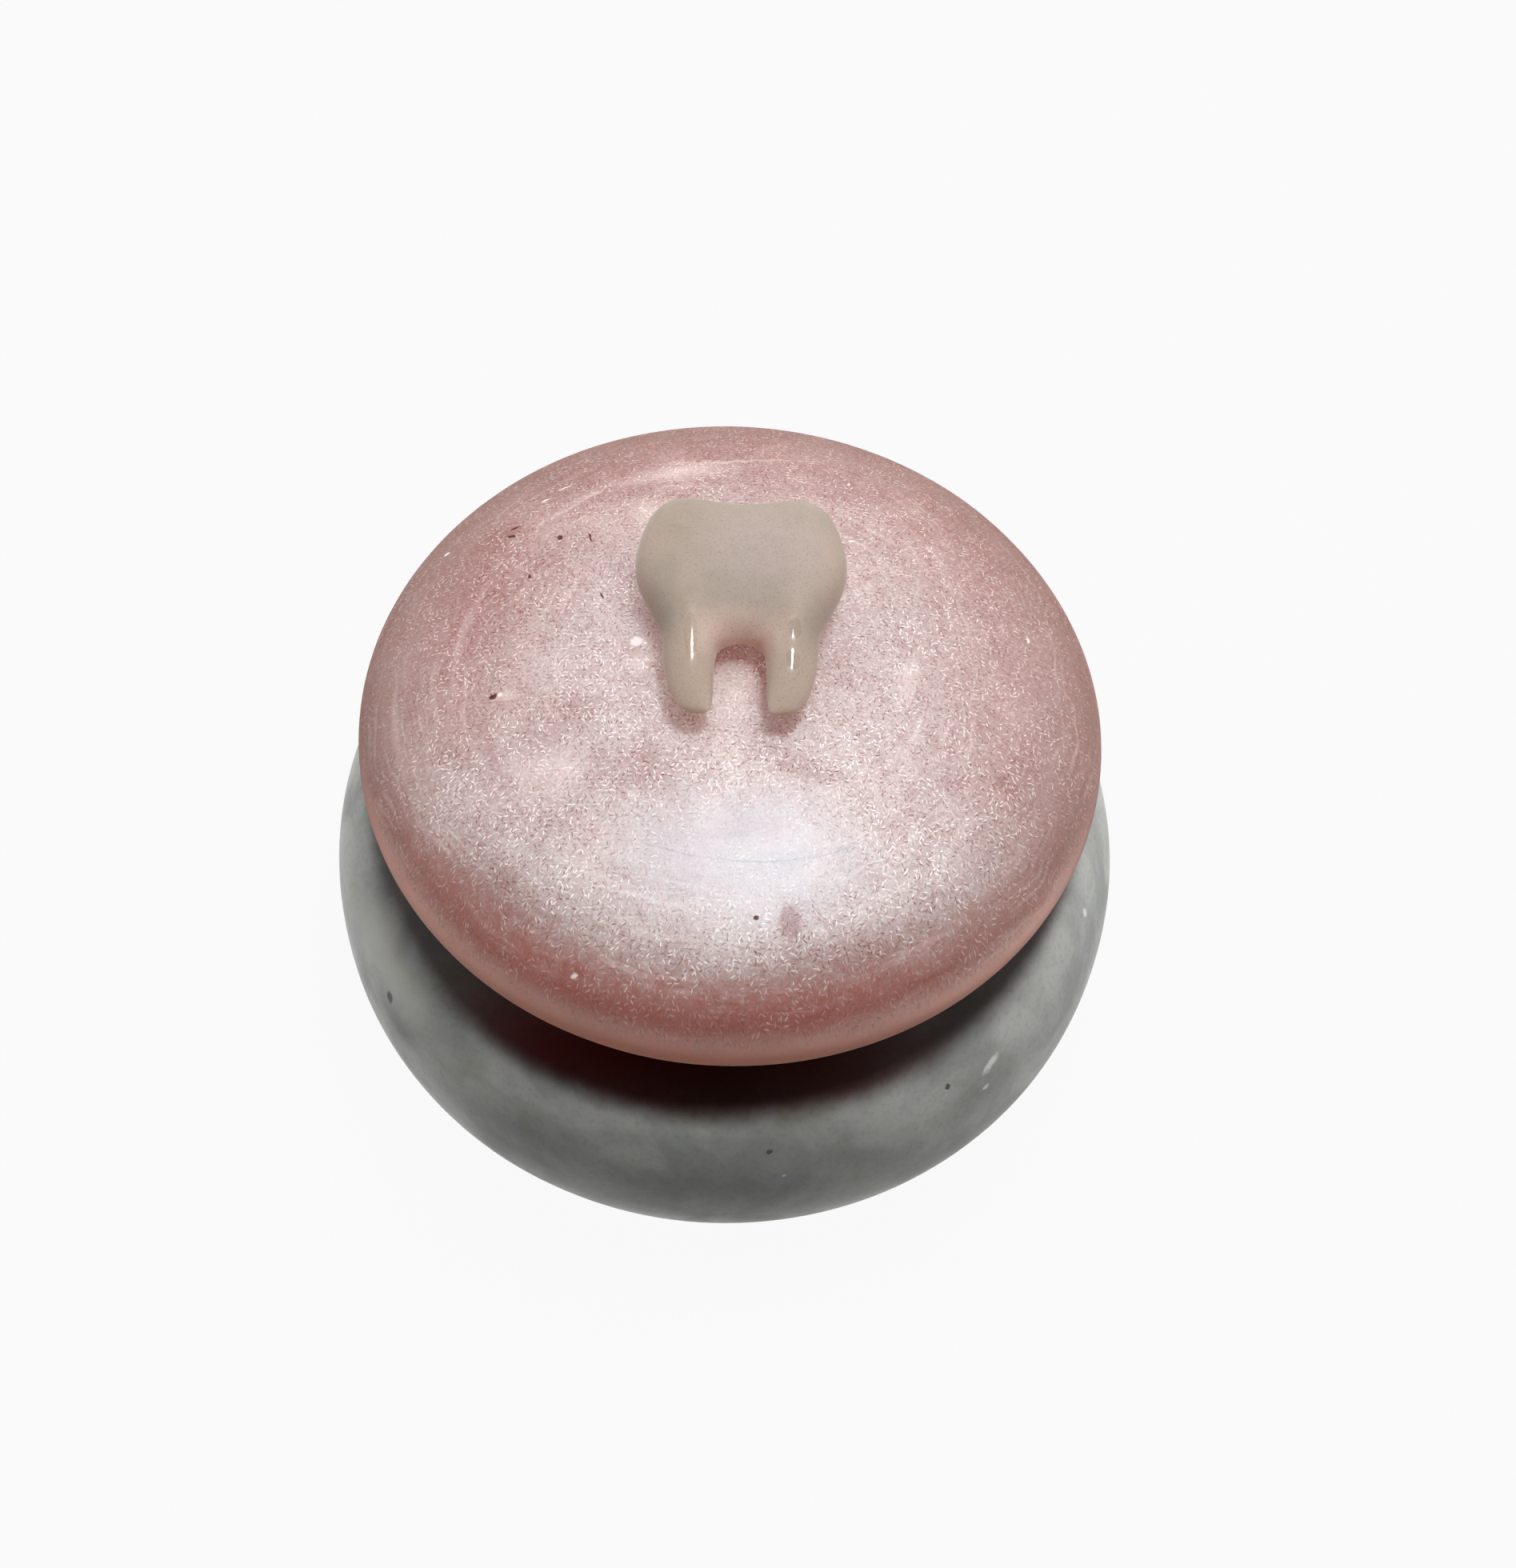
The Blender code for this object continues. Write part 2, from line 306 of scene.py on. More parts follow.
def modelTooth(sizes):
    # front and back of the right half as flat grids, each vertex moved to its place, then joined and mirrored
    rows = [[(x, y * sizes["crownLength"], *rises) for x, y, *rises in row] for row in sizes["crownRows"]]
    rows += [[(x, -y * sizes["rootLength"], *rises) for x, y, *rises in row] for row in sizes["rootRows"]]
    points = [point for row in rows for point in row]
    halves = []
    for riseNumber, rise in ((2, sizes["frontRise"]), (3, -sizes["backRise"])):
        deselectAll()
        bpy.ops.mesh.primitive_grid_add(x_subdivisions=len(rows[0]) - 1, y_subdivisions=len(rows) - 1, size=2)
        half = bpy.context.object
        grid = sorted(half.data.vertices, key=lambda vertex: (-round(vertex.co.y, 4), vertex.co.x))
        for vertex, point in zip(grid, points):
            side, along = point[0] * sizes["halfWidth"], point[1] - sizes["crownLength"] / 2
            vertex.co = (side, along, point[riseNumber] * rise)
        halves.append(half)
    tooth = halves[0]
    pickOnly(tooth)
    for half in halves:
        half.select_set(True)
    bpy.ops.object.join()
    tooth.name = "toothCharm"
    tooth.data.name = "toothCharm"
    applyModifier(tooth, tooth.modifiers.new("mirror", "MIRROR"))
    bpy.ops.object.mode_set(mode="EDIT")
    bpy.ops.mesh.select_all(action="SELECT")
    bpy.ops.mesh.remove_doubles(threshold=sizes["weldDistance"])
    bpy.ops.mesh.normals_make_consistent(inside=False)
    bpy.ops.object.mode_set(mode="OBJECT")
    roundOff(tooth, sizes["levels"])

    # laid on the lid's slope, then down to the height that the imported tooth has
    tooth.rotation_mode = "XYZ"
    tooth.rotation_euler = (math.radians(sizes["lean"]), 0, math.radians(sizes["turn"]))
    tooth.location = (0, sizes["setBack"], 0)
    bpy.ops.object.transform_apply(location=True, rotation=True, scale=True)
    lowest = min(vertex.co.z for vertex in tooth.data.vertices)
    tooth.location = (0, 0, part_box("tooth")[0].z - lowest)
    bpy.ops.object.transform_apply(location=True, rotation=True, scale=True)
    smoothShade(tooth, sizes["smoothDegrees"])
    return tooth


toothCharm = modelTooth(toothSizes)
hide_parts("tooth")
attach(toothCharm, "lid")
print("tooth modelled")


# glue: a clear bead squeezed between the tooth and the dome
glueSizes = {
    "length": 8.6 * mm,
    "width": 9.6 * mm,
    "bulge": 0.35 * mm,
    "clear": 0.06 * mm,
    "insets": (0.12, 0.14, 0.12),  # rings on its flat ends, as shares of its width
    "edgePower": 6,                # how late the bulge starts towards the edge
    "edgeDrop": 0.5,
    "edgeSpread": 0.09,
    "sides": 64,
    "levels": 2,
    "smoothDegrees": 70,
}


def modelGlue(sizes):
    low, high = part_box("tooth_adhesive")
    middle = (low + high) / 2
    deselectAll()
    bpy.ops.mesh.primitive_cylinder_add(vertices=sizes["sides"], radius=0.5, depth=1, location=(0, 0, 0))
    glue = bpy.context.object
    glue.name = "glueBead"
    glue.data.name = "glueBead"
    bpy.ops.object.mode_set(mode="EDIT")
    bpy.ops.mesh.select_all(action="DESELECT")
    bpy.ops.mesh.select_mode(type="FACE")
    bpy.ops.object.mode_set(mode="OBJECT")
    for face in glue.data.polygons:
        face.select = abs(face.normal.z) > 0.9
    bpy.ops.object.mode_set(mode="EDIT")
    for depth in sizes["insets"]:
        bpy.ops.mesh.inset(thickness=depth, depth=0)
    bpy.ops.mesh.poke()
    bpy.ops.object.mode_set(mode="OBJECT")

    # the upper side follows the tooth's back and the lower side the dome
    lean, turn = math.radians(toothSizes["lean"]), math.radians(toothSizes["turn"])
    toothTurn = Matrix.Rotation(turn, 4, "Z") @ Matrix.Rotation(lean, 4, "X")
    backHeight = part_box("tooth")[0].z
    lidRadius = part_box("lid")[1].x
    for vertex in glue.data.vertices:
        upper = vertex.co.z > 0
        across = Vector((vertex.co.x * sizes["width"], vertex.co.y * sizes["length"], 0))
        edge = (vertex.co.xy.length * 2) ** sizes["edgePower"]
        place = toothTurn @ across
        x, y = place.x + middle.x, place.y + middle.y
        if upper:
            swell = 2 * sizes["bulge"] * (1 - edge * sizes["edgeDrop"])
            vertex.co = (x, y, place.z + backHeight + swell - sizes["clear"])
        else:
            dome = (1 - (math.hypot(x, y) / lidRadius) ** 2) ** 0.5
            dome = lidSizes["widestHeight"] + lidSizes["domeHeight"] * dome
            spread = 1 + sizes["edgeSpread"] * edge
            vertex.co = (middle.x + place.x * spread, middle.y + place.y * spread, dome + sizes["clear"] / 2)
    bpy.ops.object.mode_set(mode="EDIT")
    bpy.ops.mesh.select_all(action="SELECT")
    bpy.ops.mesh.normals_make_consistent(inside=False)
    bpy.ops.object.mode_set(mode="OBJECT")
    roundOff(glue, sizes["levels"])
    smoothShade(glue, sizes["smoothDegrees"])
    return glue


glueBead = modelGlue(glueSizes)
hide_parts("tooth_adhesive")
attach(glueBead, "lid")
print("glue modelled")


# small helpers for materials
def hexColour(code):
    # an sRGB colour code as linear values
    linear = []
    for start in (0, 2, 4):
        share = int(code[start:start + 2], 16) / 255
        linear.append(share / 12.92 if share <= 0.04045 else ((share + 0.055) / 1.055) ** 2.4)
    return (*linear, 1)


def addNode(tree, kind, settings=None, links=None):
    # a setting is one of the node's own properties or the value of an input
    node = tree.nodes.new("ShaderNode" + kind)
    for name, value in (settings or {}).items():
        if hasattr(node, str(name)):
            setattr(node, name, value)
        else:
            node.inputs[name].default_value = value
    for name, source in (links or {}).items():
        if hasattr(source, "outputs"):
            source = next(output for output in source.outputs if output.enabled)
        tree.links.new(source, node.inputs[name])
    return node


def newMaterial(name):
    material = bpy.data.materials.new(name)
    material.use_nodes = True
    material.node_tree.nodes.clear()
    return material, material.node_tree


def evenSpan(span):
    # settings for going evenly from 0 at the first value to 1 at the second
    return {"From Min": span[0], "From Max": span[1]}


def smoothSpan(span):
    # the same, but starting and ending softly
    return {"interpolation_type": "SMOOTHSTEP", **evenSpan(span)}


def objectMm(tree):
    place = addNode(tree, "TexCoord").outputs["Object"]
    return addNode(tree, "Mapping", {"Scale": (1 / mm, 1 / mm, 1 / mm)}, {"Vector": place})


def cloudShare(tree, place, sizeMm, low, high, shift=(0, 0, 0), twist=0.6):
    # soft clouds of one size, 0 below low and 1 above high
    moved = addNode(tree, "Mapping", {"Location": shift}, {"Vector": place})
    pattern = {"Scale": 1 / sizeMm, "Detail": 4, "Distortion": twist}
    cloud = addNode(tree, "TexNoise", pattern, {"Vector": moved})
    return addNode(tree, "MapRange", smoothSpan((low, high)), {"Value": cloud})


def markShare(tree, place, look, name):
    # the marks of this name: each is an oval at its place, 1 inside and 0 outside, with a soft border
    soft = look["softness"][name]
    share = None
    for at, half, turn in look[name]:
        slant = (0, 0, math.radians(turn))
        settings = {"vector_type": "TEXTURE", "Location": at, "Rotation": slant, "Scale": half}
        inside = addNode(tree, "Mapping", settings, {"Vector": place})
        reach = addNode(tree, "VectorMath", {"operation": "LENGTH"}, {0: inside})
        mark = addNode(tree, "MapRange", smoothSpan((1 + soft, 1 - soft)), {"Value": reach})
        if share:
            mark = addNode(tree, "Math", {"operation": "MAXIMUM"}, {0: share, 1: mark})
        share = mark
    return share


def roughPlace(tree, place, sizeMm, amountMm):
    # shifts the place a little, so that marks and lines aren't drawn with a ruler
    noise = addNode(tree, "TexNoise", {"Scale": 1 / sizeMm, "Detail": 2}, {"Vector": place})
    middle = {"operation": "SUBTRACT", 1: (0.5, 0.5, 0.5)}
    centred = addNode(tree, "VectorMath", middle, {0: noise.outputs["Color"]})
    shift = addNode(tree, "VectorMath", {"operation": "SCALE", "Scale": amountMm}, {0: centred})
    return addNode(tree, "VectorMath", {"operation": "ADD"}, {0: place, 1: shift})


def layTints(tree, colour, shares, layers):
    # lays each layer's tint over the colour, by its share and its strength
    for name, share in shares.items():
        tint, strength = layers[name]
        fade = addNode(tree, "Math", {"operation": "MULTIPLY", 1: strength}, {0: share})
        colour = addNode(tree, "Mix", {"data_type": "RGBA", 7: hexColour(tint)}, {0: fade, 6: colour})
    return colour


# grey cast resin: opaque pigmented resin poured in a smooth mould. The pigment dries in soft clouds, the
# gloss is that of bare resin, and a few air bubbles end as pinholes. Shade and light are painted in too: a
# dark ring of painted shadow under the lid's edge, painted shade on the belly and painted light on its left.
greyResinLook = {
    "greyDark": "9e9f9c",
    "greyLight": "c0c0bd",
    # each layer over the grey: its colour and strength
    "layers": {
        "greenClouds": ("9ba28c", 0.55),
        "blueClouds": ("a8aeb2", 0.7),
        "mottle": ("63655f", 0.25),
        # painted shadow under the lid's edge, red-brown in front as a painted reflection of the lid
        "seatPaintedShadow": ("3b2b29", 0.8),
        "seatRedPaintedShade": ("5c0a08", 0.86),
        "smudges": ("424343", 0.4),
        # painted shade on the front of the belly
        "bellyPaintedShade": ("424343", 0.3),
        # painted light on the left of the shoulder
        "bellyPaintedLight": ("deddd6", 0.6),
        "pinholes": ("232523", 0.85),
        "specks": ("fcfef9", 0.7),
    },
    # clouds: size in mm, where they start and where they are full, shift
    "greyClouds": (8, 0.34, 0.66),
    "greenClouds": (5, 0.5, 0.75, (40, 10, 70)),
    "blueClouds": (5, 0.52, 0.78, (-30, 60, 20)),
    "mottleMm": 0.5,
    "mottle": (0.45, 0.8),
    # unevenness: its size in mm and how far it shifts a place in mm
    "unevenMarks": (0.6, 0.35),
    "unevenSeat": (5, 1.2),
    # the ring of painted shadow on the seat, in mm: the radius where it is clear and where it is dark, on its
    # inside and on its outside, then the height where it starts and where it is full
    "seatInside": (27.8, 29),
    "seatOutside": (33.4, 31.5),
    "seatHeight": (22, 24),
    "seatShift": (0.2, 0.9, 0),
    "roughness": (0.41, 0.32),
    "specularLevel": 0.25,
    # bumps: strength and depth
    "pinholeBump": (0.5, 0.25 * mm),
    "mottleBump": (0.12, 0.05 * mm),
    # marks: place in mm, half sizes in mm, turn, and how soft their borders are
    "pinholes": [
        ((-28.96, -21.41, 21.33), (0.3, 0.5, 0.6), 20),
        ((5.89, -34.8, 23.27), (0.24, 0.3, 0.24), 0),
        ((21.08, -27.8, 24.09), (0.28, 0.3, 0.3), 0),
        ((14.2, 35.1, 18.6), (0.3, 0.3, 0.25), 0),
    ],
    "specks": [
        ((7.32, -35.56, 20.24), (0.2, 0.3, 0.2), 0),
        ((24.76, -26.19, 21.26), (0.35, 0.4, 0.25), 30),
        ((33.29, -9.57, 24.55), (0.25, 0.3, 0.9), 0),
        ((24.93, -24.91, 23.37), (0.2, 1, 1.5), -35),
    ],
    # painted shade: darker ovals on the front of the belly
    "bellyPaintedShade": [
        ((2.6, -36.5, 17.6), (11, 3, 2.6), 0),
        ((-14.2, -33.2, 20.4), (5, 4, 2.4), 0),
        ((25, -26, 21.2), (4, 6, 2.6), 0),
    ],
    # painted light: a paler oval where the lid's shadow darkens the shoulder
    "bellyPaintedLight": [
        ((-30, -18.5, 23.5), (3.5, 7, 3.2), 29),
    ],
    # painted shadow: the front part of the ring, where it is red-brown
    "seatRedPaintedShade": [
        ((-6, -28.8, 24), (19, 4.6, 1000), 0),
    ],
    "smudges": [
        ((-27.89, -18.93, 25.99), (0.9, 1.6, 1.8), -30),
        ((-27.4, -22.2, 19.5), (2.5, 2.5, 1.2), 0),
        ((-15.5, -32.4, 15.9), (4, 3, 1), 10),
    ],
    "softness": {
        "pinholes": 0.4,
        "specks": 0.4,
        "bellyPaintedShade": 0.8,
        "bellyPaintedLight": 0.8,
        "seatRedPaintedShade": 0.95,
        "smudges": 0.8,
    },
}


def greyCastResin(look):
    material, tree = newMaterial("greyCastResin")
    place = objectMm(tree)
    uneven = roughPlace(tree, place, *look["unevenMarks"])
    seatPlace = roughPlace(tree, place, *look["unevenSeat"])
    shifted = addNode(tree, "Mapping", {"Location": look["seatShift"]}, {"Vector": seatPlace})
    flat = addNode(tree, "VectorMath", {"operation": "MULTIPLY", 1: (1, 1, 0)}, {0: shifted})
    radius = addNode(tree, "VectorMath", {"operation": "LENGTH"}, {0: flat})
    height = addNode(tree, "SeparateXYZ", {}, {0: place}).outputs[2]

    # painted shadow: the ring of the shoulder under the lid's edge is painted dark, and brown-red in front,
    # where the lid's pink underside is reflected
    inner = addNode(tree, "MapRange", smoothSpan(look["seatInside"]), {"Value": radius})
    outer = addNode(tree, "MapRange", smoothSpan(look["seatOutside"]), {"Value": radius})
    above = addNode(tree, "MapRange", evenSpan(look["seatHeight"]), {"Value": height})
    ring = addNode(tree, "Math", {"operation": "MULTIPLY"}, {0: inner, 1: outer})
    ring = addNode(tree, "Math", {"operation": "MULTIPLY"}, {0: ring, 1: above})
    inFront = markShare(tree, uneven, look, "seatRedPaintedShade")
    redRing = addNode(tree, "Math", {"operation": "MULTIPLY"}, {0: ring, 1: inFront})

    clouds = cloudShare(tree, place, *look["greyClouds"])
    greys = {"data_type": "RGBA", 6: hexColour(look["greyDark"]), 7: hexColour(look["greyLight"])}
    colour = addNode(tree, "Mix", greys, {0: clouds})
    fine = addNode(tree, "TexNoise", {"Scale": 1 / look["mottleMm"], "Detail": 3}, {"Vector": place})
    mottle = addNode(tree, "MapRange", smoothSpan(look["mottle"]), {"Value": fine})
    pinholes = markShare(tree, uneven, look, "pinholes")
    colour = layTints(tree, colour, {
        "greenClouds": cloudShare(tree, place, *look["greenClouds"]),
        "blueClouds": cloudShare(tree, place, *look["blueClouds"]),
        "mottle": mottle,
        "seatPaintedShadow": ring,
        "seatRedPaintedShade": redRing,
        "smudges": markShare(tree, uneven, look, "smudges"),
        "bellyPaintedShade": markShare(tree, uneven, look, "bellyPaintedShade"),
        "bellyPaintedLight": markShare(tree, uneven, look, "bellyPaintedLight"),
        "pinholes": pinholes,
        "specks": markShare(tree, uneven, look, "specks"),
    }, look["layers"])

    # the painted shadow ring gets no reflection, so that it stays dark; the rest has the gloss of bare resin
    noGlossInShadow = addNode(tree, "Mix", {"data_type": "RGBA", 6: (1, 1, 1, 1), 7: (0, 0, 0, 1)}, {0: ring})
    strength, depth = look["pinholeBump"]
    pits = addNode(tree, "Bump", {"Strength": strength, "Distance": depth, "invert": True},
                   {"Height": pinholes})
    strength, depth = look["mottleBump"]
    bump = addNode(tree, "Bump", {"Strength": strength, "Distance": depth}, {"Height": fine, "Normal": pits})
    dullest, glossiest = look["roughness"]
    rough = addNode(tree, "MapRange", {"To Min": dullest, "To Max": glossiest}, {"Value": clouds})
    shader = addNode(tree, "BsdfPrincipled", {"IOR": 1.5, "Specular IOR Level": look["specularLevel"]},
                     {"Base Color": colour, "Roughness": rough, "Specular Tint": noGlossInShadow, "Normal": bump})
    addNode(tree, "OutputMaterial", {}, {"Surface": shader})
    return material


# pink pearl resin: poured resin full of fine mica. The flakes lie flat under the upper face and few are at the
# edge. So the top has a broad whitish sheen over deep pink, broken into short strokes, and the edge has little
# of it. The edge is painted darker brick red in front as painted shade, and its lower turn paler as painted
# light.
pearlLook = {
    "pinkDeep": "ab7671",
    "pinkPale": "c0958f",
    # each layer over the pink: its colour and strength
    "layers": {
        "swirls": ("9f5d5b", 0.2),
        "redFlecks": ("88453e", 0.18),
        "pinkPatches": ("9f5d5b", 0.35),
        "rim": ("a0837d", 0.75),
        # painted shade: the edge darker brick red in front only
        "frontEdgeShade": ("b16e64", 0.75),
        # painted light: the lower turn of the edge paler in front
        "lowerEdgeLight": ("fed4cb", 0.9),
        "dropPatch": ("9f5d5b", 0.45),
        "grain": ("784d43", 0.36),
        "darkStrokes": ("784d43", 0.6),
        "paleStrokes": ("ffece7", 0.75),
        "paleStreaks": ("ffece7", 0.22),
        "redStreaks": ("88453e", 0.3),
        "paleArcs": ("ffece7", 0.13),
        # pale spots of the pattern, and one of painted light between the tooth's roots
        "paleSpotsAndPaintedLight": ("ffece7", 0.3),
        "darkArcs": ("784d43", 0.5),
        "darkMarks": ("53211d", 0.85),
        "whiteMarks": ("fff4f2", 0.85),
    },
    # clouds: size in mm, where they start and where they are full, shift, twist
    "pinkClouds": (11, 0.32, 0.68, (0, 0, 0), 1.5),
    "redFlecks": (1.1, 0.58, 0.72, (9, 30, 0)),
    "swirls": (5, 0.45, 0.68, (20, 50, 0), 2.5),
    "clumps": (5, 0.4, 0.62, (7, 70, 0), 1.5),
    "clumpShare": (0.4, 1),
    # unevenness: its size in mm and how far it shifts a place in mm
    "unevenSwirls": (6, 2.5),
    "unevenPatches": (2, 1.6),
    "unevenMarks": (0.5, 0.3),
    "unevenSheen": (0.7, 5),
    "grainMm": 0.2,
    "grain": (0.34, 0.66),
    "grainShown": (0, 0.7),        # by how flat the flakes lie
    "grainLeast": 0.5,
    "grainInZone": 0.3,            # the even zone of the highlight is finer
    # strokes in mm: one in each cell, drawn a little coarser than the flakes are
    "strokeCellMm": 0.4,
    "strokeHalfMm": (0.24, 0.06),
    "strokeBorder": (1.3, 0.5),
    "strokeStrength": (0.25, 0.9),
    # shift of each kind's cells, so that dark and pale strokes don't lie together
    "darkStrokes": (0, 0, 0),
    "paleStrokes": (61, 37, 0),
    # streaks round the axis: shift and size in mm
    "paleStreaks": ((0, 0, 0), 0.45),
    "redStreaks": ((30, 5, 9), 0.5),
    "streaks": (0.5, 0.72),
    "streakPatches": (7, 0.4, 0.62),
    "streakRadius": (5, 16),
    # places on the lid in mm: where a thing starts and where it is full
    "front": (-4, -20),
    "rim": (22, 31),
    # painted light of the lower edge
    "lowerEdgeLight": (40.6, 37.6),
    "lowerEdgeAtBack": 0.3,
    "aboveUnderside": (32.6, 34.4),
    "upper": (37.3, 39.8),
    # the sheen: radius in mm where it is gone and where it is full
    "sheenSide": (37, 11),
    "sheenFront": (32, 24.5),
    "sheenRoughness": 0.56,
    "sheenIor": 4.5,
    "sheenWarm": (0.92, 1, 1, 1),
    "sheenCool": (0.77, 0.93, 1, 1),
    "sheenByGrain": (0.88, 0.6),
    # what each layer adds to the sheen or takes from it
    "sheenChanges": {
        "paleStrokes": 0.3,
        "darkStrokes": -0.5,
        "swirls": -0.15,
        "pinkPatches": -0.2,
        "darkMarks": -0.7,
        "dropPatch": -0.35,
        "whiteMarks": -0.5,
    },
    # bumps: strength and depth
    "grainBump": (0.25, 0.03 * mm),
    "pitBump": (0.6, 0.2 * mm),
    "glowColours": (1, 0.5, 0.4),
    "glowDepth": 12 * mm,
    # marks: place in mm (height doesn't count), half sizes in mm, turn
    "evenZone": [
        ((2, -18.6, 0), (9.5, 5.2, 1000), 6),
    ],
    "dropPatch": [
        ((6.11, -23.9, 0), (1, 1.2, 1000), 0),
    ],
    "darkMarks": [
        ((-20.74, 13.38, 0), (0.36, 0.14, 1000), 0),
        ((-20.55, 14.46, 0), (0.45, 0.1, 1000), 25),
        ((-16.32, 12.61, 0), (0.24, 0.3, 1000), 30),
        ((-18.53, 8, 0), (0.16, 0.22, 1000), 0),
        ((3.29, -23.87, 0), (0.22, 0.2, 1000), 0),
        ((-20.3, -4.72, 0), (0.4, 0.24, 1000), 20),
        ((-13.6, 12.4, 0), (0.1, 0.55, 1000), 20),
        ((-11.9, 5.4, 0), (0.08, 0.4, 1000), 25),
    ],
    "whiteMarks": [
        ((-8.45, 0.42, 0), (0.55, 0.5, 1000), 0),
        ((-7.7, 0.3, 0), (0.16, 0.16, 1000), 0),
        ((-19.7, -4.6, 0), (0.2, 0.14, 1000), 0),
        ((9.47, 13.63, 0), (0.26, 0.14, 1000), 0),
        ((9.07, 21.52, 0), (0.12, 0.2, 1000), 0),
        ((-18.22, 18, 0), (0.4, 0.12, 1000), 35),
        ((-16.6, 19.6, 0), (0.7, 0.08, 1000), 30),
        ((-26.66, 12.9, 0), (0.28, 0.16, 1000), 30),
        ((-11.2, -28.4, 0), (0.3, 0.16, 1000), 0),
        ((25.6, 6.4, 0), (0.12, 0.3, 1000), 0),
    ],
    "paleSpotsAndPaintedLight": [
        ((-8.2, -1.6, 0), (0.9, 0.8, 1000), 0),
        ((-14.5, 17.6, 0), (3.4, 0.2, 1000), 38),
        ((-15.2, -12, 0), (2.8, 1.8, 1000), 0),
        # painted light: where the tooth's shadow falls between the roots
        ((-0.2, -4.2, 0), (1.7, 2.2, 1000), 0),
        ((-19.3, -4.6, 0), (0.8, 0.5, 1000), 0),
        ((-6.5, 21.2, 0), (4.6, 1, 1000), 14),
        ((-2.2, 23.3, 0), (5.5, 0.25, 1000), 8),
        ((-8.6, 15.6, 0), (1.4, 0.9, 1000), 40),
        ((-11.4, 14.6, 0), (0.9, 0.1, 1000), 40),
        ((14.8, -1.4, 0), (0.7, 2.4, 1000), -12),
    ],
    "pinkPatches": [
        ((-26.8, 3.2, 0), (0.9, 9, 1000), -6),
        ((-22.5, 13.2, 0), (2.6, 1.6, 1000), 40),
        ((-13.2, -6.5, 0), (2.4, 1.4, 1000), 0),
        ((-7.2, -11.6, 0), (3, 1.5, 1000), 10),
        ((6.1, -10.8, 0), (3, 1.2, 1000), -10),
        ((24.8, -9.8, 0), (2.4, 6, 1000), -20),
        ((30, -4, 0), (1.5, 8, 1000), -8),
        ((-23, 4, 0), (4.5, 9, 1000), -5),
        ((10.5, -27.2, 0), (6.5, 1.8, 1000), 20),
        ((-18.5, -21.8, 0), (5, 1.8, 1000), -40),
        ((5.5, -3.6, 0), (1.6, 0.8, 1000), 35),
    ],
    # marks round the axis: angle from the left and radius in mm, half sizes in degrees and mm, slant
    # painted shade: the darker front part of the edge
    "frontEdgeShade": [
        ((84, 31.3, 0), (44, 2.6, 1000), 0),
    ],
    "paleArcs": [
        ((-4, 23.9, 0), (13, 0.4, 1000), 1.7),
        ((12, 29.4, 0), (7, 0.3, 1000), 0),
        ((8, 25.9, 0), (5, 0.25, 1000), 0),
        ((-50, 23.3, 0), (7, 0.25, 1000), 0),
        ((-73, 22.4, 0), (8, 0.4, 1000), -3),
        ((150, 16.6, 0), (16, 0.5, 1000), 2),
        ((70, 23.4, 0), (12, 0.35, 1000), 0),
    ],
    "darkArcs": [
        ((78, 19.35, 0), (8, 0.1, 1000), 0),
        ((100, 19.65, 0), (13, 0.08, 1000), 1.5),
        ((118, 20.2, 0), (8, 0.06, 1000), 1),
    ],
    # how soft the marks' borders are
    "softness": {
        "evenZone": 0.6,
        "dropPatch": 0.35,
        "darkMarks": 0.35,
        "whiteMarks": 0.35,
        "paleSpotsAndPaintedLight": 0.9,
        "pinkPatches": 0.9,
        "frontEdgeShade": 0.6,
        "paleArcs": 0.9,
        "darkArcs": 0.6,
    },
}


def strokeShare(tree, flat, shift, look):
    # one short stroke in each cell, turned its own way
    moved = addNode(tree, "Mapping", {"Location": shift}, {"Vector": flat})
    settings = {"voronoi_dimensions": "2D", "Scale": 1 / look["strokeCellMm"]}
    cells = addNode(tree, "TexVoronoi", settings, {"Vector": moved})
    centre = cells.outputs["Position"]
    inCell = addNode(tree, "VectorMath", {"operation": "SUBTRACT"}, {0: moved, 1: centre})
    chance = addNode(tree, "SeparateColor", {}, {0: cells.outputs["Color"]})
    turn = addNode(tree, "Math", {"operation": "MULTIPLY", 1: math.tau}, {0: chance})
    turned = addNode(tree, "VectorRotate", {"rotation_type": "Z_AXIS"}, {"Vector": inCell, "Angle": turn})
    length, width = look["strokeHalfMm"]
    squeeze = {"operation": "MULTIPLY", 1: (1 / length, 1 / width, 0)}
    squeezed = addNode(tree, "VectorMath", squeeze, {0: turned})
    reach = addNode(tree, "VectorMath", {"operation": "LENGTH"}, {0: squeezed})
    stroke = addNode(tree, "MapRange", smoothSpan(look["strokeBorder"]), {"Value": reach})
    strength = addNode(tree, "MapRange", evenSpan(look["strokeStrength"]), {"Value": chance.outputs[1]})
    return addNode(tree, "Math", {"operation": "MULTIPLY"}, {0: stroke, 1: strength})


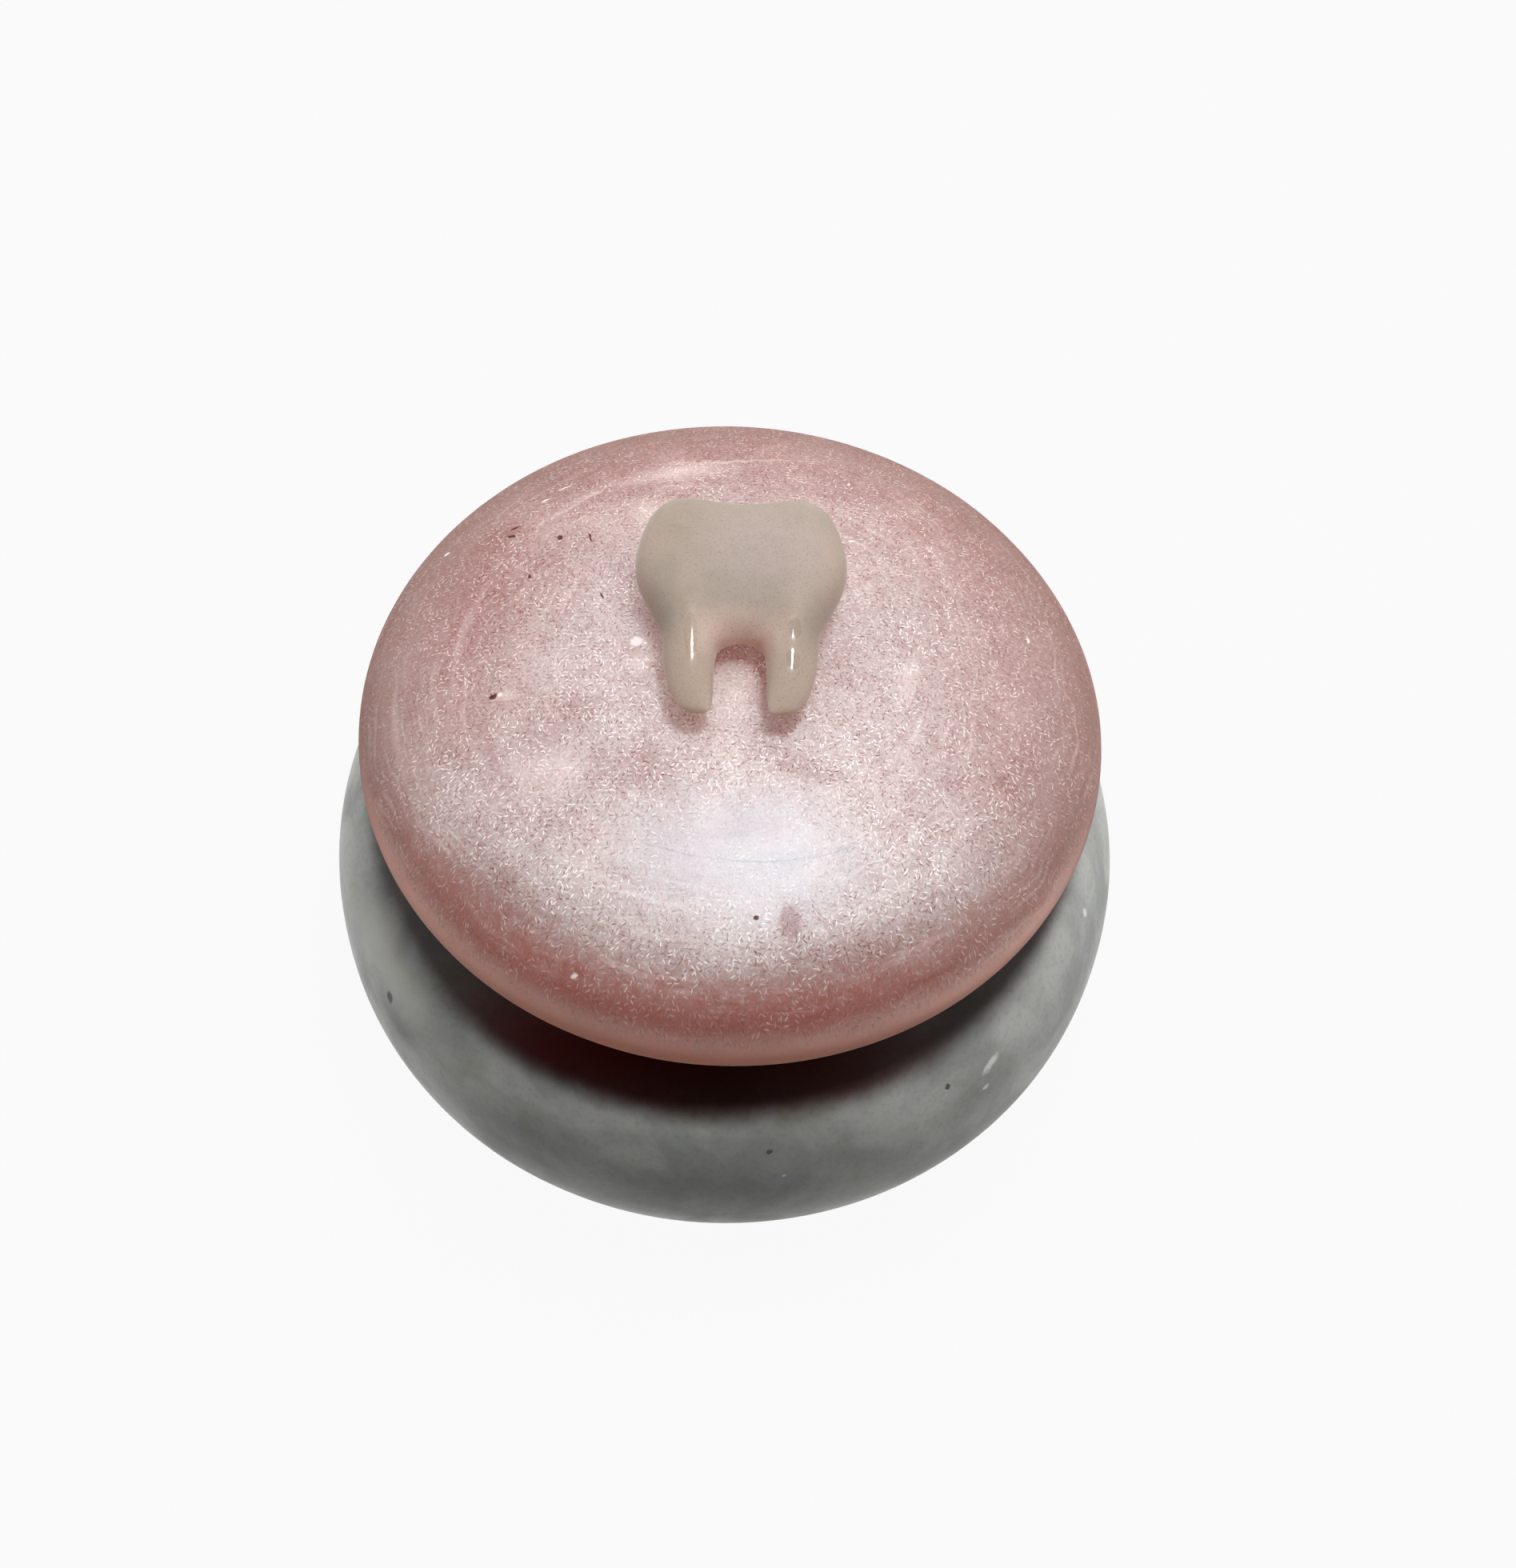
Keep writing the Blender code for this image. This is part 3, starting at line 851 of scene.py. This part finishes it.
def ringStreaks(tree, place, swirled, upper, look, name):
    # streaks stirred round the axis: noise that runs along the rings, in loose patches on the upper face
    shift, sizeMm = look[name]
    radius = addNode(tree, "VectorMath", {"operation": "LENGTH"}, {0: swirled})
    direction = addNode(tree, "VectorMath", {"operation": "NORMALIZE"}, {0: swirled})
    around = addNode(tree, "VectorMath", {"operation": "SCALE", "Scale": 2}, {0: direction})
    outward = addNode(tree, "Math", {"operation": "DIVIDE", 1: sizeMm}, {0: radius})
    outward = addNode(tree, "CombineXYZ", {}, {2: outward})
    rings = addNode(tree, "VectorMath", {"operation": "ADD"}, {0: around, 1: outward})
    moved = addNode(tree, "Mapping", {"Location": shift}, {"Vector": rings})
    noise = addNode(tree, "TexNoise", {"Scale": 1, "Detail": 4, "Roughness": 0.65}, {"Vector": moved})
    streaks = addNode(tree, "MapRange", smoothSpan(look["streaks"]), {"Value": noise})
    patches = cloudShare(tree, place, *look["streakPatches"], shift)
    away = addNode(tree, "MapRange", smoothSpan(look["streakRadius"]), {"Value": radius})
    patches = addNode(tree, "Math", {"operation": "MULTIPLY"}, {0: patches, 1: away})
    patches = addNode(tree, "Math", {"operation": "MULTIPLY"}, {0: patches, 1: upper})
    return addNode(tree, "Math", {"operation": "MULTIPLY"}, {0: streaks, 1: patches})


def pinkPearlResin(look):
    material, tree = newMaterial("pinkPearlResin")
    place = objectMm(tree)
    flat = addNode(tree, "VectorMath", {"operation": "MULTIPLY", 1: (1, 1, 0)}, {0: place})
    swirled = roughPlace(tree, flat, *look["unevenSwirls"])
    uneven = roughPlace(tree, flat, *look["unevenPatches"])
    shaky = roughPlace(tree, flat, *look["unevenMarks"])
    radius = addNode(tree, "VectorMath", {"operation": "LENGTH"}, {0: flat})
    axes = addNode(tree, "SeparateXYZ", {}, {0: place})
    height = axes.outputs[2]
    front = addNode(tree, "MapRange", smoothSpan(look["front"]), {"Value": axes.outputs[1]})
    upper = addNode(tree, "MapRange", smoothSpan(look["upper"]), {"Value": height})

    # angle and radius for marks that run round the axis
    opposite = addNode(tree, "VectorMath", {"operation": "SCALE", "Scale": -1}, {0: shaky})
    parts = addNode(tree, "SeparateXYZ", {}, {0: opposite})
    fromLeft = addNode(tree, "Math", {"operation": "ARCTAN2"}, {0: parts.outputs[1], 1: parts.outputs[0]})
    degrees = addNode(tree, "Math", {"operation": "DEGREES"}, {0: fromLeft})
    reach = addNode(tree, "VectorMath", {"operation": "LENGTH"}, {0: shaky})
    polar = addNode(tree, "CombineXYZ", {}, {0: degrees, 1: reach})

    # where the flakes lie flat: nearly to the rim at the sides and the back, less far at the front
    frayedPlace = roughPlace(tree, swirled, *look["unevenSheen"])
    frayed = addNode(tree, "VectorMath", {"operation": "LENGTH"}, {0: frayedPlace})
    atSide = addNode(tree, "MapRange", smoothSpan(look["sheenSide"]), {"Value": radius})
    atFront = addNode(tree, "MapRange", smoothSpan(look["sheenFront"]), {"Value": frayed})
    flakes = addNode(tree, "Mix", {}, {0: front, 2: atSide, 3: atFront})

    # grain and strokes show where the flakes lie flat, and less in the even zone of the highlight
    even = markShare(tree, swirled, look, "evenZone")
    coarse = addNode(tree, "MapRange", {"To Min": 1, "To Max": look["grainInZone"]}, {"Value": even})
    settings = {**smoothSpan(look["grainShown"]), "To Min": look["grainLeast"]}
    visible = addNode(tree, "MapRange", settings, {"Value": flakes})
    visible = addNode(tree, "Math", {"operation": "MULTIPLY"}, {0: visible, 1: coarse})
    visible = addNode(tree, "Math", {"operation": "MULTIPLY"}, {0: visible, 1: upper})
    pattern = {"Scale": 1 / look["grainMm"], "Detail": 2, "Distortion": 1}
    noise = addNode(tree, "TexNoise", pattern, {"Vector": place})
    grain = addNode(tree, "MapRange", smoothSpan(look["grain"]), {"Value": noise})
    shownGrain = addNode(tree, "Math", {"operation": "MULTIPLY"}, {0: grain, 1: visible})
    strokes = strokeShare(tree, flat, look["darkStrokes"], look)
    dark = addNode(tree, "Math", {"operation": "MULTIPLY"}, {0: strokes, 1: visible})
    strokes = strokeShare(tree, flat, look["paleStrokes"], look)
    pale = addNode(tree, "Math", {"operation": "MULTIPLY"}, {0: strokes, 1: visible})
    least, most = look["clumpShare"]
    clumps = cloudShare(tree, swirled, *look["clumps"])
    clumps = addNode(tree, "MapRange", {"To Min": least, "To Max": most}, {"Value": clumps})
    pale = addNode(tree, "Math", {"operation": "MULTIPLY"}, {0: pale, 1: clumps})

    # the lower edge is paler in front, as painted light on its lower turn, down to the underside, which is
    # plain pink as the spigot is
    lower = addNode(tree, "MapRange", smoothSpan(look["lowerEdgeLight"]), {"Value": height})
    byFront = addNode(tree, "MapRange", {"To Min": look["lowerEdgeAtBack"], "To Max": 1}, {"Value": front})
    lower = addNode(tree, "Math", {"operation": "MULTIPLY"}, {0: lower, 1: byFront})
    outside = addNode(tree, "MapRange", smoothSpan(look["aboveUnderside"]), {"Value": height})
    lower = addNode(tree, "Math", {"operation": "MULTIPLY"}, {0: lower, 1: outside})

    # colour: deep pink in clouds, streaks round the axis, the rim, then each mark where the real one has it,
    # and
    # painted shade and light: the front edge darker, the lower edge paler, a pale spot between the tooth's
    # roots
    clouds = cloudShare(tree, place, *look["pinkClouds"])
    pinks = {"data_type": "RGBA", 6: hexColour(look["pinkDeep"]), 7: hexColour(look["pinkPale"])}
    colour = addNode(tree, "Mix", pinks, {0: clouds})
    swirls = cloudShare(tree, swirled, *look["swirls"])
    shares = {
        "swirls": addNode(tree, "Math", {"operation": "MULTIPLY"}, {0: swirls, 1: coarse}),
        "redFlecks": cloudShare(tree, place, *look["redFlecks"]),
        "pinkPatches": markShare(tree, uneven, look, "pinkPatches"),
        "rim": addNode(tree, "MapRange", smoothSpan(look["rim"]), {"Value": radius}),
        "frontEdgeShade": markShare(tree, polar, look, "frontEdgeShade"),
        "lowerEdgeLight": lower,
        "dropPatch": markShare(tree, shaky, look, "dropPatch"),
        "grain": shownGrain,
        "darkStrokes": dark,
        "paleStrokes": pale,
        "paleStreaks": ringStreaks(tree, place, swirled, upper, look, "paleStreaks"),
        "redStreaks": ringStreaks(tree, place, swirled, upper, look, "redStreaks"),
        "paleArcs": markShare(tree, polar, look, "paleArcs"),
        "paleSpotsAndPaintedLight": markShare(tree, uneven, look, "paleSpotsAndPaintedLight"),
        "darkArcs": markShare(tree, polar, look, "darkArcs"),
        "darkMarks": markShare(tree, shaky, look, "darkMarks"),
        "whiteMarks": markShare(tree, shaky, look, "whiteMarks"),
    }
    colour = layTints(tree, colour, shares, look["layers"])

    # the mica sheen, broken by the grain and by what lies over the pink
    most, least = look["sheenByGrain"]
    broken = addNode(tree, "MapRange", {"To Min": most, "To Max": least}, {"Value": shownGrain})
    for name, change in look["sheenChanges"].items():
        settings = {"operation": "MULTIPLY_ADD", 1: change}
        broken = addNode(tree, "Math", settings, {0: shares[name], 2: broken})
    sheen = addNode(tree, "Math", {"operation": "MULTIPLY", "use_clamp": True}, {0: broken, 1: flakes})
    tints = {"data_type": "RGBA", 6: look["sheenWarm"], 7: look["sheenCool"]}
    tint = addNode(tree, "Mix", tints, {0: even})
    sheen = addNode(tree, "Mix", {"data_type": "RGBA", 6: (0, 0, 0, 1)}, {0: sheen, 7: tint})
    strength, depth = look["grainBump"]
    bump = addNode(tree, "Bump", {"Strength": strength, "Distance": depth}, {"Height": grain})
    strength, depth = look["pitBump"]
    pits = addNode(tree, "Bump", {"Strength": strength, "Distance": depth, "invert": True},
                   {"Height": shares["darkMarks"], "Normal": bump})
    shader = addNode(tree, "BsdfPrincipled",
                     {"Roughness": look["sheenRoughness"], "IOR": look["sheenIor"], "Subsurface Weight": 1,
                      "Subsurface Radius": look["glowColours"], "Subsurface Scale": look["glowDepth"]},
                     {"Base Color": colour, "Specular Tint": sheen, "Normal": pits})
    addNode(tree, "OutputMaterial", {}, {"Surface": shader})
    return material


# cream resin: slightly clear resin tinted a greyish cream. It has the satin of its mould, with shiny runs down
# the roots. Light is painted into the colour: paler pink over the fork, a pale highlight on the crown, paler
# sides.
creamLook = {
    "cream": "a59689",
    "greyer": "9d8f81",
    # each layer over the cream: its colour and strength
    "layers": {
        # painted light: paler pink over the fork, where the surface bends away from the light
        "forkPaintedLight": ("ecd0c4", 0.85),
        # painted highlight on the crown
        "crownPaintedHighlight": ("ccbcba", 0.3),
        # painted light: paler towards the sides, where the shape turns away from the light
        "sides": ("bca898", 0.6),
        "roots": ("bca898", 0.3),
        "grain": ("7b6e5e", 0.4),
    },
    # clouds: size in mm, where they start and where they are full
    "creamClouds": (2.2, 0.3, 0.8),
    # unevenness: its size in mm and how far it shifts a place in mm
    "unevenFork": (2, 1),
    "grainMm": 0.17,
    "grain": (0.5, 0.75),
    # where each starts and where it is full, in mm
    # painted light towards the sides
    "sides": (5.8, 9.2),
    "roots": (-1.5, -4),
    "roughness": (0.62, 0.08),         # satin, and the shiny runs
    "grainBump": (0.15, 0.02 * mm),    # strength and depth
    "glowColours": (1, 0.85, 0.75),
    "glowDepth": 6 * mm,
    "sheen": 0.3,
    "sheenRoughness": 0.3,
    # the shiny runs down the roots, the painted highlight on the crown and the painted light over the fork:
    # place in mm, half sizes in mm, turn
    "glossRuns": [
        ((-3.68, -2.8, 53), (0.6, 2.1, 1000), 3),
        ((4.86, -1.5, 53), (0.6, 1, 1000), 3),
        ((4.9, -4.1, 53), (0.6, 0.9, 1000), 3),
    ],
    # painted highlight: the crown's pale lilac patch
    "crownPaintedHighlight": [
        ((2, 6, 53), (5, 4, 1000), 0),
    ],
    # painted light over the fork
    "forkPaintedLight": [
        ((0.2, -2.2, 53), (2.8, 2, 1000), 3),
    ],
    "softness": {"glossRuns": 0.4, "crownPaintedHighlight": 0.95, "forkPaintedLight": 0.95},
}


def creamResin(look):
    material, tree = newMaterial("creamResin")
    place = objectMm(tree)
    axes = addNode(tree, "SeparateXYZ", {}, {0: place})
    aside = addNode(tree, "Math", {"operation": "ABSOLUTE"}, {0: axes.outputs[0]})
    noise = addNode(tree, "TexNoise", {"Scale": 1 / look["grainMm"], "Detail": 2}, {"Vector": place})
    creams = {"data_type": "RGBA", 6: hexColour(look["cream"]), 7: hexColour(look["greyer"])}
    colour = addNode(tree, "Mix", creams, {0: cloudShare(tree, place, *look["creamClouds"])})
    colour = layTints(tree, colour, {
        "forkPaintedLight": markShare(tree, roughPlace(tree, place, *look["unevenFork"]), look, "forkPaintedLight"),
        "crownPaintedHighlight": markShare(tree, place, look, "crownPaintedHighlight"),
        # painted light towards the sides
        "sides": addNode(tree, "MapRange", smoothSpan(look["sides"]), {"Value": aside}),
        "roots": addNode(tree, "MapRange", smoothSpan(look["roots"]), {"Value": axes.outputs[1]}),
        "grain": addNode(tree, "MapRange", smoothSpan(look["grain"]), {"Value": noise}),
    }, look["layers"])
    satin, shiny = look["roughness"]
    runs = markShare(tree, place, look, "glossRuns")
    rough = addNode(tree, "MapRange", {"To Min": satin, "To Max": shiny}, {"Value": runs})
    strength, depth = look["grainBump"]
    bump = addNode(tree, "Bump", {"Strength": strength, "Distance": depth}, {"Height": noise})
    shader = addNode(tree, "BsdfPrincipled",
                     {"Subsurface Weight": 1, "Subsurface Radius": look["glowColours"],
                      "Subsurface Scale": look["glowDepth"], "Sheen Weight": look["sheen"],
                      "Sheen Roughness": look["sheenRoughness"]},
                     {"Base Color": colour, "Roughness": rough, "Normal": bump})
    addNode(tree, "OutputMaterial", {}, {"Surface": shader})
    return material


# clear adhesive: set epoxy, glassy and faintly yellow, with a few fine bubbles
adhesiveLook = {
    "clear": "efe6d2",
    "bubble": "ffffff",
    "bubbleMm": 0.7,
    "bubbleBorder": (0.2, 0.12),
    "bubbleBump": (0.3, 0.1 * mm),     # strength and depth
    "roughness": (0.08, 0.4),          # bare, and at a bubble
    "clearness": 0.85,
}


def clearAdhesive(look):
    material, tree = newMaterial("clearAdhesive")
    place = objectMm(tree)
    bubbles = addNode(tree, "TexVoronoi", {"Scale": 1 / look["bubbleMm"]}, {"Vector": place})
    spots = addNode(tree, "MapRange", smoothSpan(look["bubbleBorder"]), {"Value": bubbles})
    tints = {"data_type": "RGBA", 6: hexColour(look["clear"]), 7: hexColour(look["bubble"])}
    colour = addNode(tree, "Mix", tints, {0: spots})
    bare, atBubble = look["roughness"]
    rough = addNode(tree, "MapRange", {"To Min": bare, "To Max": atBubble}, {"Value": spots})
    strength, depth = look["bubbleBump"]
    bump = addNode(tree, "Bump", {"Strength": strength, "Distance": depth}, {"Height": spots})
    shader = addNode(tree, "BsdfPrincipled", {"IOR": 1.48, "Transmission Weight": look["clearness"]},
                     {"Base Color": colour, "Roughness": rough, "Normal": bump})
    addNode(tree, "OutputMaterial", {}, {"Surface": shader})
    return material


def paint(piece, material):
    piece.data.materials.clear()
    piece.data.materials.append(material)


paint(potCasting, greyCastResin(greyResinLook))
paint(lidCasting, pinkPearlResin(pearlLook))
paint(toothCharm, creamResin(creamLook))
paint(glueBead, clearAdhesive(adhesiveLook))
print("materials made")


# studio: power in watts, and the angles lean a lamp from straight overhead, as seen from the front
studio = {
    "keyLamp": {"size": 90 * mm, "distance": 600 * mm, "power": 1.52, "rightward": 7.5, "backward": -2},
    "backPanel": {"size": 500 * mm, "distance": 700 * mm, "power": 0.56, "rightward": 5, "backward": 50},
    "leftPanel": {"size": 350 * mm, "distance": 650 * mm, "power": 1.32, "rightward": -68, "backward": 40},
    "rightPanel": {"size": 350 * mm, "distance": 650 * mm, "power": 1.2, "rightward": 68, "backward": 45},
    "throughPanel": {"size": 200 * mm, "distance": 600 * mm, "power": 1.84, "rightward": 4, "backward": 8},
    "worldStrength": 0.01,
    "floorSize": 3,
    "floorColour": "84847e",
    "floorGlow": 0.94,
}


def addLamp(name, shape):
    values = studio[name]
    lamp = bpy.data.objects.new(name, bpy.data.lights.new(name, "AREA"))
    lamp.data.shape = shape
    lamp.data.size = values["size"]
    lamp.data.energy = values["power"]
    bpy.context.scene.collection.objects.link(lamp)
    sideways = math.tan(math.radians(values["rightward"]))
    away = Vector((sideways, math.tan(math.radians(values["backward"])), 1)).normalized()
    lamp.location = Vector(photoView["aim"]) + away * values["distance"]
    lamp.rotation_mode = "QUATERNION"
    lamp.rotation_quaternion = away.to_track_quat("Z", "Y")
    return lamp


def passThrough(lamp, pieces):
    # the real tooth is translucent and lets light through to the lid: this lamp isn't held back by it
    clearPieces = bpy.data.collections.new("clearPieces")
    for piece in pieces:
        clearPieces.objects.link(piece)
    for entry in clearPieces.collection_objects:
        entry.light_linking.link_state = "EXCLUDE"
    lamp.visible_glossy = False
    lamp.light_linking.blocker_collection = clearPieces


def seenRays(tree):
    # 1 for what the camera sees directly, in a reflection or through something clear
    rays = addNode(tree, "LightPath")
    mirrored = addNode(tree, "Math", {"operation": "MAXIMUM"},
                       {0: rays.outputs["Is Glossy Ray"], 1: rays.outputs["Is Transmission Ray"]})
    return addNode(tree, "Math", {"operation": "MAXIMUM"}, {0: rays.outputs["Is Camera Ray"], 1: mirrored})


def paleRoom(strength):
    # white where it is seen, and nearly no light from it
    world = bpy.data.worlds.new("paleRoom")
    world.use_nodes = True
    tree = world.node_tree
    tree.nodes.clear()
    brightness = addNode(tree, "MapRange", {"To Min": strength, "To Max": 1}, {"Value": seenRays(tree)})
    background = addNode(tree, "Background", {"Color": (1, 1, 1, 1)}, {"Strength": brightness})
    addNode(tree, "OutputWorld", {}, {"Surface": background})
    bpy.context.scene.world = world


def layFloor(values):
    # grey to the light that falls on it, and nearly white where it is seen
    deselectAll()
    bpy.ops.mesh.primitive_plane_add(size=values["floorSize"], location=(0, 0, 0))
    floor = bpy.context.object
    floor.name = "paleFloor"
    material, tree = newMaterial("paleFloorPaint")
    matt = addNode(tree, "BsdfDiffuse", {"Color": hexColour(values["floorColour"])})
    glow = addNode(tree, "Emission", {"Color": (1, 1, 1, 1), "Strength": 1})
    share = addNode(tree, "Math", {"operation": "MULTIPLY", 1: values["floorGlow"]}, {0: seenRays(tree)})
    surface = addNode(tree, "MixShader", {}, {"Fac": share, 1: matt, 2: glow})
    addNode(tree, "OutputMaterial", {}, {"Surface": surface})
    paint(floor, material)


addLamp("keyLamp", "DISK")
addLamp("backPanel", "SQUARE")
addLamp("leftPanel", "SQUARE")
addLamp("rightPanel", "SQUARE")
passThrough(addLamp("throughPanel", "SQUARE"), (toothCharm, glueBead))
paleRoom(studio["worldStrength"])
layFloor(studio)
bpy.context.scene.view_settings.view_transform = "Standard"
print("studio lit")
